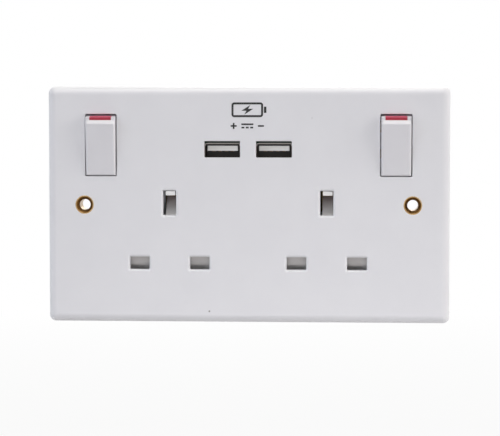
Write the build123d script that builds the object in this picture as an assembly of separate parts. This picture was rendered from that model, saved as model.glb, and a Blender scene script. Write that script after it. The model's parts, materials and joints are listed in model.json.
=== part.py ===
from build123d import *
import math
import os

# Switched two-gang wall socket with two USB charging ports.
# Millimetres. X runs right and Z up as the user sees it, and +Y goes into the wall.
# The origin is on the wall plane, half way between the two fixing holes.

# Front plate
PLATE_W = 148.0
PLATE_H = 87.0
PLATE_DEPTH = 9.0
PLATE_FACE_T = 2.5
PLATE_SKIRT_T = 2.2
PLATE_DRAFT = 1.5
PLATE_EDGE_R = 3.0
PLATE_CORNER_R = 2.5
SLOT_CORNER_R = 0.35
SLOT_EDGE_R = 1.0
PORT_EDGE_R = 0.4
SWITCH_EDGE_R = 0.3
PLATE_RIB_T = 1.6

# Fixing holes with brass eyelets
FIXING_PITCH = 120.6
FIXING_HOLE_R = 2.0
EYELET_WALL = 0.6
EYELET_FLANGE_R = 3.4
EYELET_FUNNEL = 1.6
EYELET_RIM = 0.35
FIXING_BOSS_R = 5.5

# Pin layout of each outlet
SOCKET_PITCH = 57.8
EARTH_Z = 0.7
PIN_SPREAD = 22.2
PIN_DROP = 22.2
EARTH_SLOT_W = 4.8
EARTH_SLOT_H = 9.0
LIVE_SLOT_W = 7.2
LIVE_SLOT_H = 4.6
LIVE_PIN_LENGTH = 17.7
LIVE_PIN_SPARE = 2.3

# Shutters and the shrouds that guide them
SLIDE_GAP = 0.2
SHUTTER_T = 6.0
SHUTTER_DROP = 6.4
SHOULDER_RISE = 9.4
DOOR_LAP = 1.3
DOOR_FOOT_LAP = 0.9
DOOR_REST_GAP = 0.1
DOOR_SLOPE = 3.0
EARTH_PIN_H = 8.0
RAMP_W = 4.0
RAMP_FOOT = 0.3
KEY_SHIFT = 0.35
STEM_T = 2.0
STEM_RAIL_T = 1.5
STEM_SIDE_ROOM = 0.5
SHUTTER_COIL_R = 1.5
SHUTTER_WIRE = 0.4
SHUTTER_TURNS = 5
SHUTTER_SPRING_SOLID = 2.6
SPRING_ROOM = 0.3
SPRING_PLAY = 0.02
PIP_R = 1.0
PIP_H = 1.5
SHROUD_DECK_T = 2.0
SHROUD_RAIL_T = 1.4
SHROUD_TUBE_T = 1.1
TUBE_END_GAP = 0.5

# Springy finger in the top of each earth slot
GUARD_W = 3.5
GUARD_T = 0.8
GUARD_SETBACK = 0.5
GUARD_DROP = 1.7
GUARD_GAP = 0.15
GUARD_LEAF_IN = 3.1
GUARD_LEAF_H = 6.0
GUARD_ROOT_H = 3.0
GUARD_LEDGE_T = 1.2

# Contacts
CLIP_GAP = 4.3
CLIP_T = 0.8
CLIP_W = 6.8
EARTH_CLIP_W = 7.5
CLIP_FLARE = 0.8
CLIP_MOUTH_GAP = 0.6
CLIP_THROAT = 1.6
CLIP_ROOM = 0.15
CLIP_SIDE_ROOM = 0.5
EARTH_CLIP_SIDE_ROOM = 0.8
CLIP_BASE_LAP = 0.45
BAR_T = 1.0
BAR_GAP = 2.0
BAR_W = 3.4
ARM_W = 3.0
ARM_ROOM = 0.4
TAB_HALF = 1.6
LAYER_GAP = 1.3

# Switches
ROCKER_X = 54.2
ROCKER_Z = 22.0
ROCKER_W = 10.9
ROCKER_UP = 11.15
ROCKER_DOWN = 10.7
ROCKER_TILT = 7.0
ROCKER_PROUD = 0.3
ROCKER_SIDE_GAP = 0.35
ROCKER_END_GAP = 0.2
ROCKER_BEVEL_H = 1.2
ROCKER_BEVEL_D = 1.2
ROCKER_STEP_H = 0.95
ROCKER_CROWN_H = 0.5
ROCKER_CROWN_D = 3.9
ROCKER_FACE_T = 2.0
ROCKER_WALL = 1.4
ROCKER_SKIRT = 1.5
ROCKER_EDGE_R = 0.8
TRUNNION_R = 1.0
TRUNNION_PLAY = 0.05
TRUNNION_ROOT = 1.0
LUG_T = 1.6
LUG_H = 6.4
LUG_REACH = 2.6
STRIP_W = 8.0
STRIP_T = 0.4
STRIP_TAIL = 2.6
PLUNGER_R = 1.9
PLUNGER_PLAY = 0.1
PLUNGER_L = 8.5
PLUNGER_BOSS_T = 1.2
PLUNGER_SHOWN = 5.0
PLUNGER_WIRE = 0.4
PLUNGER_TURNS = 3.5
SEESAW_TILT = 8.0
SEESAW_T = 1.4
SEESAW_W = 6.0
SEESAW_BACK = 0.2
SEESAW_SIDE = 0.5
SEESAW_UP = 8.6
SEESAW_DOWN = 7.6
FULCRUM_R = 0.7
FULCRUM_PLAY = 0.05
CONTACT_ARM = 6.8
CONTACT_R = 1.5
CONTACT_DOME_R = 3.0
CONTACT_H = 0.8
CONTACT_GAP = 0.05
PAD_BELOW = 2.4
PAD_ABOVE = 2.0

# USB ports and their supply
USB_PITCH = 19.0
USB_Z = 20.4
PORT_W = 13.2
PORT_H = 6.0
SHELL_W = 13.1
SHELL_H = 5.7
SHELL_T = 0.3
SHELL_L = 11.2
SHELL_DROP = 0.6
SHELL_CORNER_R = 0.6
TONGUE_W = 11.1
TONGUE_T = 1.84
TONGUE_TOP_GAP = 0.7
TONGUE_RECESS = 1.0
INSULATOR_L = 5.0
USB_CONTACT_W = 1.0
USB_CONTACT_T = 0.25
USB_CONTACT_PITCH = 2.3
BOARD_T = 1.6
BOARD_H = 24.0
BOARD_MARGIN = 2.0
FEED_PIN_X = 12.0
FEED_PIN_R = 0.5
FEED_PIN_EDGE = 2.0
TAIL_L = 0.8

# Components on the USB board
COMPONENT_STANDOFF = 0.3
COMPONENT_EDGE = 1.0
CORE_W = 12.0
CORE_H = 13.0
CORE_LEG = 2.0
CORE_LIMB_H = 3.0
CORE_INSET = 2.0
LIMB_INSET = 3.0
WINDING_R = 1.2
INPUT_CAN_R = 3.2
INPUT_CAN_L = 10.0
INPUT_CAN_SIDE = 3.0
OUTPUT_CAN_R = 4.0
OUTPUT_CAN_L = 9.0
OUTPUT_CAN_SIDE = 1.4
CAN_RIM = 0.4
LEAD_R = 0.3
LEAD_SPREAD = 1.2
DISC_R = 3.4
DISC_T = 3.4
DISC_RIM = 1.0
DISC_SIDE = 3.8
DISC_BELOW_CAN = 1.0
DISC_LEAD_SPREAD = 1.8
CHIP_X = 4.0
CHIP_RISE = 5.0
CHIP_H = 3.6
CHIP_T = 1.6
CHIP_STANDOFF = 0.2
RECTIFIER_W = 5.0
CONTROLLER_W = 4.4
CHIP_PIN_W = 0.4
CHIP_PIN_T = 0.9
CHIP_PIN_REACH = 0.7

# Terminals
TERMINAL_W = 7.0
TERMINAL_GAP = 1.4
TERMINAL_H = 10.9
WIRE_BORE_R = 2.3
WIRE_BORE_DEPTH = 8.0
TERMINAL_SCREW_R = 1.4
TERMINAL_SCREW_L = 3.2
TERMINAL_TAB_DROP = 1.5
CHAMBER_ROOM = 1.1

# Rear housing
HOUSING_WALL = 1.8
FLOOR_T = 2.0
HOUSING_CORNER_R = 2.5
FIT_GAP = 0.3
PARTITION_T = 1.5
HOUSING_SCREW_R = 1.45
HOUSING_SCREW_PLAY = 0.25
SCREW_HEAD_R = 2.7
SCREW_HEAD_H = 1.8
SCREW_SLOT = 0.8
HEAD_ROOM = 0.2
PILLAR_R = 3.2
PILLAR_BACK = 2.0
PILLAR_LAP = 0.3
SIDE_SCREW_RISE = 3.2
FOOT_SCREW_RISE = 1.2
BAR_ROOM = 1.0
BOARD_POST_T = 1.4
BOARD_POST_H = 3.0
SCREW_BITE = 5.0

# Depths, front to back
FRONT_Y = -PLATE_DEPTH
INNER_Y = FRONT_Y + PLATE_FACE_T
SHUTTER_Y0 = INNER_Y + SLIDE_GAP
SHUTTER_Y1 = SHUTTER_Y0 + SHUTTER_T
DECK_Y0 = SHUTTER_Y1 + SLIDE_GAP
DECK_Y1 = DECK_Y0 + SHROUD_DECK_T
LIVE_Y = FRONT_Y + LIVE_PIN_LENGTH + LIVE_PIN_SPARE
EARTH_Y = LIVE_Y + BAR_T + BAR_GAP
LINE_Y = EARTH_Y + BAR_T + BAR_GAP
FLOOR_Y = LINE_Y + BAR_T + BAR_GAP
BACK_Y = FLOOR_Y + FLOOR_T
SHELL_Y0 = INNER_Y + SLIDE_GAP
SHELL_Y1 = SHELL_Y0 + SHELL_L
BOARD_Y1 = SHELL_Y1 + BOARD_T

# Heights and widths of the outlets
LIVE_Z = EARTH_Z - PIN_DROP
SOCKET_XS = (-SOCKET_PITCH / 2, SOCKET_PITCH / 2)
CLIP_IN = CLIP_GAP / 2
CLIP_OUT = CLIP_IN + CLIP_T
TUBE_IN = CLIP_OUT + CLIP_FLARE + CLIP_ROOM
TUBE_OUT = TUBE_IN + SHROUD_TUBE_T
DOOR_TOP = LIVE_Z + LIVE_SLOT_H / 2 + DOOR_LAP
DOOR_BOTTOM = LIVE_Z - LIVE_SLOT_H / 2 - DOOR_FOOT_LAP
SHUTTER_HALF = PIN_SPREAD / 2 + LIVE_SLOT_W / 2 + DOOR_LAP
RAIL_IN = EARTH_SLOT_W / 2 + STEM_SIDE_ROOM
RAIL_OUT = RAIL_IN + STEM_RAIL_T
SLOT_TOP = EARTH_Z + EARTH_SLOT_H / 2
PIN_BOTTOM = EARTH_Z - EARTH_PIN_H / 2
RAMP_BOTTOM = EARTH_Z - EARTH_SLOT_H / 2 - RAMP_FOOT
RAMP_TOP = PIN_BOTTOM - SLIDE_GAP + SHUTTER_DROP
SHUTTER_MID_Y = (SHUTTER_Y0 + SHUTTER_Y1) / 2
SPRING_SEAT_Z = DOOR_BOTTOM - SHUTTER_DROP - DOOR_REST_GAP
SPRING_TOP_Z = DOOR_BOTTOM + SHUTTER_SPRING_SOLID
GUARD_ROOT_Z = SLOT_TOP + GUARD_LEAF_H
GUARD_TOP = GUARD_ROOT_Z + GUARD_ROOT_H
SHROUD_HALF = SHUTTER_HALF + FIT_GAP + SHROUD_RAIL_T
STEM_HALF = RAIL_OUT + FIT_GAP + SHROUD_RAIL_T
SHROUD_BOTTOM = SPRING_SEAT_Z - SHROUD_RAIL_T
SHOULDER_Z = DOOR_TOP + SHOULDER_RISE
STEM_TOP = GUARD_TOP + DOOR_REST_GAP + SHROUD_RAIL_T

# Switch geometry about the rocker's axis
TILT = math.radians(ROCKER_TILT)
SWING = math.radians(SEESAW_TILT)
PIVOT_Y = INNER_Y + TRUNNION_R + FIT_GAP
ROCKER_F = (ROCKER_PROUD + PIVOT_Y - FRONT_Y + ROCKER_DOWN * math.sin(TILT)) / math.cos(TILT)
STEP_F = ROCKER_F - ROCKER_BEVEL_D
STEP_SWEEP = STEP_F * math.sin(TILT) + (ROCKER_UP - ROCKER_CROWN_H) * math.cos(TILT)
CROWN_SWEEP = (STEP_F - ROCKER_CROWN_D) * math.sin(TILT) + ROCKER_UP * math.cos(TILT)
SWEEP_UP = max(STEP_SWEEP, CROWN_SWEEP)
SWEEP_DOWN = ROCKER_F * math.sin(TILT) + ROCKER_DOWN * math.cos(TILT)
OPENING_TOP = ROCKER_Z + SWEEP_UP + ROCKER_END_GAP
OPENING_BOTTOM = ROCKER_Z - SWEEP_DOWN - ROCKER_END_GAP
OPENING_HALF = ROCKER_W / 2 + ROCKER_SIDE_GAP
LUG_OUT = OPENING_HALF + LUG_T
CONTACT_REACH = (
    (CONTACT_H - CONTACT_DOME_R) * math.cos(SWING) + CONTACT_ARM * math.sin(SWING) + CONTACT_DOME_R
)
SEESAW_Y = LIVE_Y - CONTACT_GAP - CONTACT_REACH
SEESAW_FRONT = SEESAW_BACK + SEESAW_T
TIP_REACH = SEESAW_Y - SEESAW_FRONT - PLUNGER_PLAY - PIVOT_Y
PLUNGER_TAIL = TIP_REACH - PLUNGER_L
BOSS_BORE_Y = -0.5
BOSS_END = TIP_REACH - PLUNGER_SHOWN

# Outline of the rear housing, and what is laid out inside it
UPPER_HALF = ROCKER_X + LUG_OUT + FIT_GAP + HOUSING_WALL
UPPER_TOP = OPENING_TOP + FIT_GAP + HOUSING_WALL
UPPER_BOTTOM = OPENING_BOTTOM - FIT_GAP - HOUSING_WALL
LOWER_HALF = SOCKET_PITCH / 2 + SHROUD_HALF + FIT_GAP + HOUSING_WALL
NEUTRAL_TOP = LIVE_Z - TUBE_OUT - BAR_ROOM
NEUTRAL_BOTTOM = NEUTRAL_TOP - ARM_W
LOWER_BOTTOM = SHROUD_BOTTOM - FIT_GAP - HOUSING_WALL
COLUMN_HALF = SOCKET_PITCH / 2 - SHROUD_HALF
BOARD_HALF = USB_PITCH / 2 + SHELL_W / 2 + BOARD_MARGIN
BOARD_TOP = UPPER_TOP - HOUSING_WALL - FIT_GAP
BOARD_BOTTOM = BOARD_TOP - BOARD_H
BAY_HALF = BOARD_HALF + FIT_GAP
BAY_BOTTOM = BOARD_BOTTOM - FIT_GAP
RUN_TOP = BAY_BOTTOM - PARTITION_T - FIT_GAP
RUN_BOTTOM = RUN_TOP - BAR_W
ARM_RUN_Z = RUN_TOP + LAYER_GAP
ARM_OUT = ROCKER_X - LUG_OUT - ARM_ROOM
ARM_IN = ARM_OUT - ARM_W
TERMINAL_TOP = RUN_BOTTOM - LAYER_GAP
TERMINAL_BOTTOM = TERMINAL_TOP - TERMINAL_H
TERMINAL_BACK = BACK_Y - FIT_GAP
TERMINAL_PITCH = TERMINAL_W + TERMINAL_GAP
BORE_Y = (EARTH_Y + BAR_T + TERMINAL_BACK) / 2
CHAMBER_HALF = TERMINAL_PITCH + TERMINAL_W / 2 + CHAMBER_ROOM
CHAMBER_Y = LIVE_Y + BAR_T + FIT_GAP + PARTITION_T
USB_AXIS_Z = USB_Z - SHELL_DROP
FEED_PIN_Z = BOARD_BOTTOM + FEED_PIN_EDGE
UPPER_SCREW_X = ARM_IN - PILLAR_R - LAYER_GAP
UPPER_SCREW_Z = UPPER_TOP - HOUSING_WALL - PILLAR_R - FIT_GAP
SIDE_SCREW_X = LOWER_HALF - HOUSING_WALL - PILLAR_R - FIT_GAP
SIDE_SCREW_Z = SHOULDER_Z + PILLAR_R + SIDE_SCREW_RISE
FOOT_SCREW_Z = NEUTRAL_TOP + PILLAR_R + FOOT_SCREW_RISE
LONG_SCREWS = [
    (-UPPER_SCREW_X, UPPER_SCREW_Z),
    (UPPER_SCREW_X, UPPER_SCREW_Z),
    (-SIDE_SCREW_X, SIDE_SCREW_Z),
    (SIDE_SCREW_X, SIDE_SCREW_Z),
]


def block(x0, x1, y0, y1, z0, z1):
    """A box between two corners."""
    middle = Pos((x0 + x1) / 2, (y0 + y1) / 2, (z0 + z1) / 2)
    return middle * Box(x1 - x0, y1 - y0, z1 - z0)


def rod_y(x, z, radius, y0, y1):
    """A round bar along Y."""
    return Pos(x, (y0 + y1) / 2, z) * Rot(90, 0, 0) * Cylinder(radius, y1 - y0)


def rod_x(y, z, radius, x0, x1):
    """A round bar along X."""
    return Pos((x0 + x1) / 2, y, z) * Rot(0, 90, 0) * Cylinder(radius, x1 - x0)


def slab(outline, y0, y1):
    """A flat outline drawn as seen from the front, thickened from y0 to y1."""
    return extrude(Plane.XZ.offset(-y1) * outline, y1 - y0)


def side_profile(points, x0, x1):
    """A (y, z) outline carried along X."""
    face = make_face(Polyline(*points, close=True))
    return Pos(x0, 0, 0) * extrude(Plane.YZ * face, x1 - x0)


def turned(points):
    """A (radius, y) outline turned about the Y axis."""
    face = make_face(Polyline(*points, close=True))
    return revolve(Plane.XY * face, Axis.Y)


def coil(radius, wire, length, turns):
    """A square-wire compression spring standing on the origin along Z."""
    path = Helix(pitch=(length - wire) / turns, height=length - wire, radius=radius)
    section = Plane(path @ 0, z_dir=path % 0) * Rectangle(wire, wire)
    return Pos(0, 0, wire / 2) * sweep(section, path=path, is_frenet=True)


def pair(shape):
    """Two copies mirrored left and right."""
    return shape + mirror(shape, Plane.YZ)


def slot_centres():
    """Middle and size of every pin slot, as (x, z, width, height)."""
    slots = []
    for x in SOCKET_XS:
        slots.append((x, EARTH_Z, EARTH_SLOT_W, EARTH_SLOT_H))
        slots.append((x - PIN_SPREAD / 2, LIVE_Z, LIVE_SLOT_W, LIVE_SLOT_H))
        slots.append((x + PIN_SPREAD / 2, LIVE_Z, LIVE_SLOT_W, LIVE_SLOT_H))
    return slots


def eyelet_outside():
    """The eyelet's outer form, which is also its seat in the plate."""
    tube_r = FIXING_HOLE_R + EYELET_WALL
    cone_y = FRONT_Y + EYELET_RIM + EYELET_FLANGE_R - tube_r
    return turned(
        [
            (0, FRONT_Y),
            (EYELET_FLANGE_R, FRONT_Y),
            (EYELET_FLANGE_R, FRONT_Y + EYELET_RIM),
            (tube_r, cone_y),
            (tube_r, 0),
            (0, 0),
        ]
    )


def make_eyelet():
    """A brass eyelet with a funnel mouth for the fixing screw."""
    mouth_r = EYELET_FLANGE_R - EYELET_RIM
    funnel_y = FRONT_Y + EYELET_FUNNEL
    inside = turned(
        [(0, FRONT_Y), (mouth_r, FRONT_Y), (FIXING_HOLE_R, funnel_y), (FIXING_HOLE_R, 0), (0, 0)]
    )
    return eyelet_outside() - inside


def round_hole_edges(body, centres, radius):
    """Round the front edges of the openings that lie at the given (x, z) places."""
    front = body.faces().sort_by(Axis.Y)[0]
    edges = []
    for wire in front.inner_wires():
        middle = wire.bounding_box().center()
        if any(math.hypot(middle.X - x, middle.Z - z) < 0.5 for x, z in centres):
            edges.extend(wire.edges())
    return fillet(edges, radius)


def make_front_plate():
    """The face moulding: a shallow tray with all openings, switch bearings and screw pillars."""
    outline = Plane.XZ * RectangleRounded(PLATE_W, PLATE_H, PLATE_CORNER_R)
    body = extrude(outline, PLATE_DEPTH, taper=PLATE_DRAFT)
    body = fillet(body.faces().sort_by(Axis.Y)[0].edges(), PLATE_EDGE_R)
    slots = slot_centres()
    ports = [(x, USB_Z, PORT_W, PORT_H) for x in (-USB_PITCH / 2, USB_PITCH / 2)]
    for x, z, width, height in slots + ports:
        body -= slab(Pos(x, z) * RectangleRounded(width, height, SLOT_CORNER_R), FRONT_Y, 0)
    switch_z = (OPENING_TOP + OPENING_BOTTOM) / 2
    switch_hole = RectangleRounded(2 * OPENING_HALF, OPENING_TOP - OPENING_BOTTOM, SLOT_CORNER_R)
    for x in (-ROCKER_X, ROCKER_X):
        body -= slab(Pos(x, switch_z) * switch_hole, FRONT_Y, 0)
    body = round_hole_edges(body, [slot[:2] for slot in slots], SLOT_EDGE_R)
    body = round_hole_edges(body, [port[:2] for port in ports], PORT_EDGE_R)
    body = round_hole_edges(body, [(-ROCKER_X, switch_z), (ROCKER_X, switch_z)], SWITCH_EDGE_R)
    tray_w = PLATE_W - 2 * PLATE_SKIRT_T
    tray_h = PLATE_H - 2 * PLATE_SKIRT_T
    body -= slab(Rectangle(tray_w, tray_h), INNER_Y, 0)

    fixing_x = FIXING_PITCH / 2
    body += pair(rod_y(fixing_x, 0, FIXING_BOSS_R, INNER_Y, 0))
    rib = block(fixing_x, tray_w / 2, INNER_Y, -PLATE_RIB_T, -PLATE_RIB_T / 2, PLATE_RIB_T / 2)
    body += pair(rib)
    lug_y = PIVOT_Y + LUG_REACH
    lug = block(OPENING_HALF, LUG_OUT, INNER_Y, lug_y, -LUG_H / 2, LUG_H / 2)
    lug -= rod_x(PIVOT_Y, 0, TRUNNION_R + TRUNNION_PLAY, OPENING_HALF, LUG_OUT)
    snap = 0.8 * TRUNNION_R
    lug -= block(OPENING_HALF, LUG_OUT, PIVOT_Y, lug_y, -snap, snap)
    lugs = Pos(0, 0, ROCKER_Z) * pair(lug)
    body += Pos(-ROCKER_X, 0, 0) * lugs + Pos(ROCKER_X, 0, 0) * lugs
    for x, z in LONG_SCREWS + [(0, FOOT_SCREW_Z)]:
        body += rod_y(x, z, PILLAR_R, INNER_Y, PILLAR_BACK)
        body -= rod_y(x, z, HOUSING_SCREW_R, PILLAR_BACK - SCREW_BITE, PILLAR_BACK)
    seat = eyelet_outside()
    return body - Pos(-fixing_x, 0, 0) * seat - Pos(fixing_x, 0, 0) * seat


def switched_on(shape):
    """Tip a piece drawn about the rocker's axis into the ON position."""
    return Pos(0, PIVOT_Y, ROCKER_Z) * Rot(ROCKER_TILT, 0, 0) * shape


def make_rocker():
    """Return the rocker and its red ON strip, both in the ON position."""
    face_y = -ROCKER_F
    step_y = -STEP_F
    crown_z = ROCKER_UP - ROCKER_CROWN_H
    step_z = crown_z - ROCKER_STEP_H
    bevel_z = step_z - ROCKER_BEVEL_H
    half = ROCKER_W / 2
    outline = [
        (face_y, -ROCKER_DOWN),
        (face_y, bevel_z),
        (step_y, step_z),
        (step_y, crown_z),
        (step_y + ROCKER_CROWN_D, ROCKER_UP),
        (ROCKER_SKIRT, ROCKER_UP),
        (ROCKER_SKIRT, -ROCKER_DOWN),
    ]
    body = side_profile(outline, -half, half)
    front = body.faces().sort_by(Axis.Y)[0]
    bevel = body.faces().sort_by(Axis.Y)[1]
    shoulder = [edge for edge in bevel.edges() if abs(edge.tangent_at(0.5).X) < 0.5]
    body = fillet(front.edges() + shoulder, ROCKER_EDGE_R)

    tail_y = step_y + STRIP_TAIL
    tail_z = crown_z + ROCKER_CROWN_H * STRIP_TAIL / ROCKER_CROWN_D
    band = side_profile(
        [
            (step_y - STRIP_T, step_z),
            (step_y + STRIP_T, step_z),
            (step_y + STRIP_T, crown_z - STRIP_T),
            (tail_y, tail_z - STRIP_T),
            (tail_y, tail_z + STRIP_T),
            (step_y - STRIP_T, crown_z + STRIP_T),
        ],
        -STRIP_W / 2,
        STRIP_W / 2,
    )
    strip = body & band
    body -= band

    inside = half - ROCKER_WALL
    hollow = side_profile(
        [
            (face_y + ROCKER_FACE_T, ROCKER_WALL - ROCKER_DOWN),
            (face_y + ROCKER_FACE_T, bevel_z - ROCKER_WALL),
            (step_y + ROCKER_FACE_T, crown_z - ROCKER_WALL),
            (ROCKER_SKIRT, crown_z - ROCKER_WALL),
            (ROCKER_SKIRT, ROCKER_WALL - ROCKER_DOWN),
        ],
        -inside,
        inside,
    )
    body -= hollow
    bore_r = PLUNGER_R + PLUNGER_PLAY
    body += rod_y(0, 0, bore_r + PLUNGER_BOSS_T, face_y + ROCKER_FACE_T / 2, BOSS_END)
    body -= rod_y(0, 0, bore_r, BOSS_BORE_Y, BOSS_END)
    body += pair(rod_x(0, 0, TRUNNION_R, half - TRUNNION_ROOT, LUG_OUT))
    return switched_on(body), switched_on(strip)


def make_plunger():
    """The round-nosed plunger that the rocker drives across the see-saw contact."""
    nose_y = TIP_REACH - PLUNGER_R
    plunger = rod_y(0, 0, PLUNGER_R, PLUNGER_TAIL, nose_y) + Pos(0, nose_y, 0) * Sphere(PLUNGER_R)
    return switched_on(plunger)


def make_plunger_spring():
    """The spring behind the plunger, in the rocker's boss."""
    length = PLUNGER_TAIL - BOSS_BORE_Y - 2 * SPRING_PLAY
    spring = coil(PLUNGER_R - PLUNGER_WIRE, PLUNGER_WIRE, length, PLUNGER_TURNS)
    return switched_on(Pos(0, BOSS_BORE_Y + SPRING_PLAY, 0) * Rot(-90, 0, 0) * spring)


def contact_closed(shape):
    """Tip a piece drawn about the see-saw's axis into the closed position."""
    return Pos(0, SEESAW_Y, ROCKER_Z) * Rot(-SEESAW_TILT, 0, 0) * shape


def make_seesaw():
    """Return the rocking contact strip and the silver contact riveted to its upper end."""
    half = SEESAW_W / 2
    strip = block(-half, half, -SEESAW_FRONT, -SEESAW_BACK, -SEESAW_DOWN, SEESAW_UP)
    strip -= rod_x(0, 0, FULCRUM_R + FULCRUM_PLAY, -half, half)
    shank_r = 0.5 * CONTACT_R
    dome = Pos(0, CONTACT_H - CONTACT_DOME_R, CONTACT_ARM) * Sphere(CONTACT_DOME_R)
    head = dome & rod_y(0, CONTACT_ARM, CONTACT_R, -SEESAW_BACK, CONTACT_H)
    shank = rod_y(0, CONTACT_ARM, shank_r, -SEESAW_FRONT, -SEESAW_BACK)
    return contact_closed(strip - shank), contact_closed(head + shank)


def make_fulcrum():
    """The bracket whose rounded edge the see-saw rocks on."""
    half = SEESAW_W / 2 + SEESAW_SIDE
    web_t = FULCRUM_R * 1.6
    top = ROCKER_Z + web_t / 2
    bracket = rod_x(SEESAW_Y, ROCKER_Z, FULCRUM_R, -half, half)
    bracket += block(-half, half, SEESAW_Y, LINE_Y, top - web_t, top)
    bracket += block(-half, half, LINE_Y - BAR_T, LINE_Y, top - 2 * BAR_W, top)
    return bracket


def make_shutter():
    """One sliding shutter: two sloping doors, and a stem with the ramp that the earth pin drives down."""
    sill = LIVE_Z + LIVE_SLOT_H / 2
    doors = side_profile(
        [
            (SHUTTER_Y0, DOOR_TOP),
            (SHUTTER_Y0, sill),
            (SHUTTER_Y0 + DOOR_SLOPE, DOOR_BOTTOM),
            (SHUTTER_Y1, DOOR_BOTTOM),
            (SHUTTER_Y1, DOOR_TOP),
        ],
        -SHUTTER_HALF,
        SHUTTER_HALF,
    )
    stem = block(-RAIL_OUT, RAIL_OUT, SHUTTER_Y0, SHUTTER_Y0 + STEM_T, DOOR_TOP, RAMP_BOTTOM)
    stem += pair(block(RAIL_IN, RAIL_OUT, SHUTTER_Y0, SHUTTER_Y1, DOOR_TOP, RAMP_BOTTOM))
    ramp_foot = RAMP_BOTTOM - STEM_T
    ramp = side_profile(
        [
            (SHUTTER_Y0, ramp_foot),
            (SHUTTER_Y0, RAMP_BOTTOM),
            (SHUTTER_Y1, RAMP_TOP),
            (SHUTTER_Y1, ramp_foot),
        ],
        KEY_SHIFT - RAMP_W / 2,
        KEY_SHIFT + RAMP_W / 2,
    )
    web = block(-RAIL_OUT, RAIL_OUT, SHUTTER_Y0, SHUTTER_Y1, DOOR_BOTTOM, DOOR_TOP)
    room = SHUTTER_COIL_R + SHUTTER_WIRE / 2 + SPRING_ROOM
    room_h = SPRING_TOP_Z - DOOR_BOTTOM
    pocket = Pos(0, SHUTTER_MID_Y, DOOR_BOTTOM + room_h / 2) * Cylinder(room, room_h)
    return doors + stem + ramp + web - pocket


def make_shutter_spring():
    """The spring that holds the shutter up over the slots."""
    length = SPRING_TOP_Z - SPRING_SEAT_Z - 2 * SPRING_PLAY
    spring = coil(SHUTTER_COIL_R, SHUTTER_WIRE, length, SHUTTER_TURNS)
    return Pos(0, SHUTTER_MID_Y, SPRING_SEAT_Z + SPRING_PLAY) * spring


def make_guard():
    """The springy finger whose tip hangs in the earth slot until a full-height pin bends it back."""
    tip_y = FRONT_Y + GUARD_SETBACK
    tip_top = SLOT_TOP - GUARD_GAP
    tip_bottom = SLOT_TOP - GUARD_DROP
    leaf_y = SHUTTER_Y0 + GUARD_LEAF_IN
    finger = side_profile(
        [
            (tip_y, tip_top),
            (tip_y, tip_bottom),
            (leaf_y + GUARD_T, tip_bottom),
            (leaf_y + GUARD_T, GUARD_ROOT_Z),
            (leaf_y, GUARD_ROOT_Z),
            (leaf_y, tip_top),
        ],
        KEY_SHIFT - GUARD_W / 2,
        KEY_SHIFT + GUARD_W / 2,
    )
    return finger + block(-RAIL_OUT, RAIL_OUT, SHUTTER_Y0, SHUTTER_Y1, GUARD_ROOT_Z, GUARD_TOP)


def pin_tube(x, z, half_w, half_h, slot_w, slot_h, y1):
    """The walls around one contact, and the pin's way through the deck in front of it."""
    tube = block(x - half_w, x + half_w, DECK_Y1, y1, z - half_h, z + half_h)
    in_w = half_w - SHROUD_TUBE_T
    in_h = half_h - SHROUD_TUBE_T
    tube -= block(x - in_w, x + in_w, DECK_Y1, y1, z - in_h, z + in_h)
    way = block(x - slot_w / 2, x + slot_w / 2, DECK_Y0, DECK_Y1, z - slot_h / 2, z + slot_h / 2)
    return tube, way


def make_shroud():
    """The moulding behind each outlet: shutter guides in front, contact tubes behind."""
    deck = block(-SHROUD_HALF, SHROUD_HALF, DECK_Y0, DECK_Y1, SHROUD_BOTTOM, SHOULDER_Z)
    deck += block(-STEM_HALF, STEM_HALF, DECK_Y0, DECK_Y1, SHOULDER_Z, STEM_TOP)
    side_in = SHROUD_HALF - SHROUD_RAIL_T
    side_rail = block(side_in, SHROUD_HALF, INNER_Y, DECK_Y0, SHROUD_BOTTOM, SHOULDER_Z)
    stem_in = STEM_HALF - SHROUD_RAIL_T
    stem_rail = block(stem_in, STEM_HALF, INNER_Y, DECK_Y0, SHOULDER_Z, STEM_TOP)
    foot = block(-SHROUD_HALF, SHROUD_HALF, INNER_Y, DECK_Y0, SHROUD_BOTTOM, SPRING_SEAT_Z)
    foot += Pos(0, SHUTTER_MID_Y, SPRING_SEAT_Z + PIP_H / 2) * Cylinder(PIP_R, PIP_H)
    stop_z = DOOR_TOP + DOOR_REST_GAP
    stop = block(stem_in, side_in, INNER_Y, DECK_Y0, stop_z, stop_z + SHROUD_RAIL_T)
    ledge_z = GUARD_ROOT_Z - DOOR_REST_GAP
    ledge = block(EARTH_SLOT_W / 2, stem_in, INNER_Y, DECK_Y0, ledge_z - GUARD_LEDGE_T, ledge_z)
    cap = block(-STEM_HALF, STEM_HALF, INNER_Y, DECK_Y0, STEM_TOP - SHROUD_RAIL_T, STEM_TOP)
    body = deck + foot + cap + pair(side_rail + stem_rail + stop + ledge)
    earth_half = EARTH_CLIP_W / 2 + EARTH_CLIP_SIDE_ROOM + SHROUD_TUBE_T
    live_half = CLIP_W / 2 + CLIP_SIDE_ROOM + SHROUD_TUBE_T
    earth_y = EARTH_Y - TUBE_END_GAP
    live_y = LIVE_Y - TUBE_END_GAP
    tubes = [pin_tube(0, EARTH_Z, TUBE_OUT, earth_half, EARTH_SLOT_W, EARTH_SLOT_H, earth_y)]
    for x in (-PIN_SPREAD / 2, PIN_SPREAD / 2):
        tubes.append(pin_tube(x, LIVE_Z, live_half, TUBE_OUT, LIVE_SLOT_W, LIVE_SLOT_H, live_y))
    for tube, way in tubes:
        body = body + tube - way
    return body


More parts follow.
